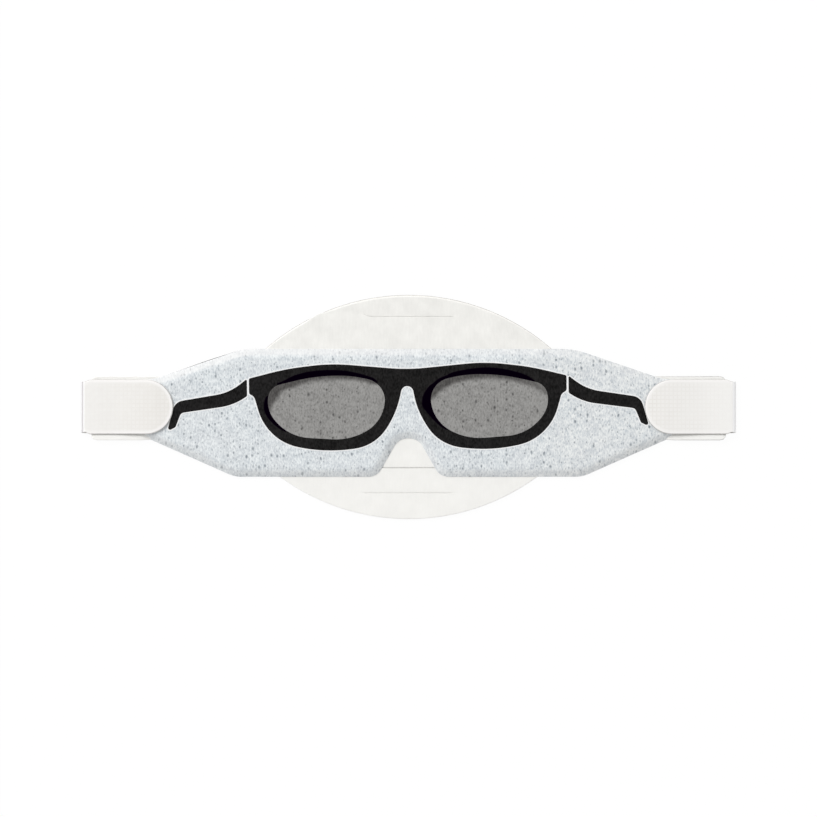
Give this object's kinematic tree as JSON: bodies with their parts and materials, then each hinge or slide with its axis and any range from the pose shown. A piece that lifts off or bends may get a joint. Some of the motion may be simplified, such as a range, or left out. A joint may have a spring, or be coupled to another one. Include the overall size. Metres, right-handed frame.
{
  "type": "phototherapy eye shield",
  "caption": "Soft flat eye shield for a newborn under treatment lights: foam shade with nose notch, wide headband, and fold-over hook tabs that open.",
  "frame": {"origin": "centre of the flat back face of the headband, on the surface the shield lies on", "axes": "+X along the headband to the right as seen from the front, +Y towards the upper edge, away from the nose notch, +Z out of the front face"},
  "size_m": [0.1904, 0.0648, 0.0037],
  "materials": {
    "brushed_loop": "white brushed knit loop cloth",
    "white_foam": "white soft foam with a fine creped skin",
    "soft_lining": "soft white nonwoven",
    "opaque_film": "dark opaque film",
    "speckled_foam": "blue-white foam with fine dark specks",
    "white_ink": "flat white screen print",
    "black_ink": "flat black screen print",
    "grey_ink": "flat grey screen print with foam specks showing",
    "tab_strip": "smooth white strip with a fine pressed grid",
    "adhesive": "thin pressure-sensitive adhesive",
    "hook_nylon": "moulded natural nylon hooks"
  },
  "bodies": {
    "headband": {"headband_face": "brushed_loop", "headband_foam": "white_foam", "shade_lining": "soft_lining", "shade_blackout_film": "opaque_film", "shade_face": "speckled_foam", "print_backing": "white_ink", "frame_print": "black_ink", "left_lens_print": "grey_ink", "right_lens_print": "grey_ink", "left_temple_print": "black_ink", "right_temple_print": "black_ink", "left_tab_anchor": "tab_strip", "right_tab_anchor": "tab_strip", "left_tab_bond": "adhesive", "right_tab_bond": "adhesive", "left_tab_fold": "tab_strip", "right_tab_fold": "tab_strip"},
    "left_tab": {"left_tab_flap": "tab_strip", "left_tab_hooks": "hook_nylon"},
    "right_tab": {"right_tab_flap": "tab_strip", "right_tab_hooks": "hook_nylon"}
  },
  "joints": [
    {"name": "left_tab_hinge", "type": "hinge", "parent": "headband", "child": "left_tab", "pos_m": [-0.0938, 0, 0.00143], "axis": [0, -1, 0], "range_deg": [0, 170], "deforming": ["left_tab_fold"]},
    {"name": "right_tab_hinge", "type": "hinge", "parent": "headband", "child": "right_tab", "pos_m": [0.0938, 0, 0.00143], "axis": [0, 1, 0], "range_deg": [0, 170], "deforming": ["right_tab_fold"]}
  ]
}
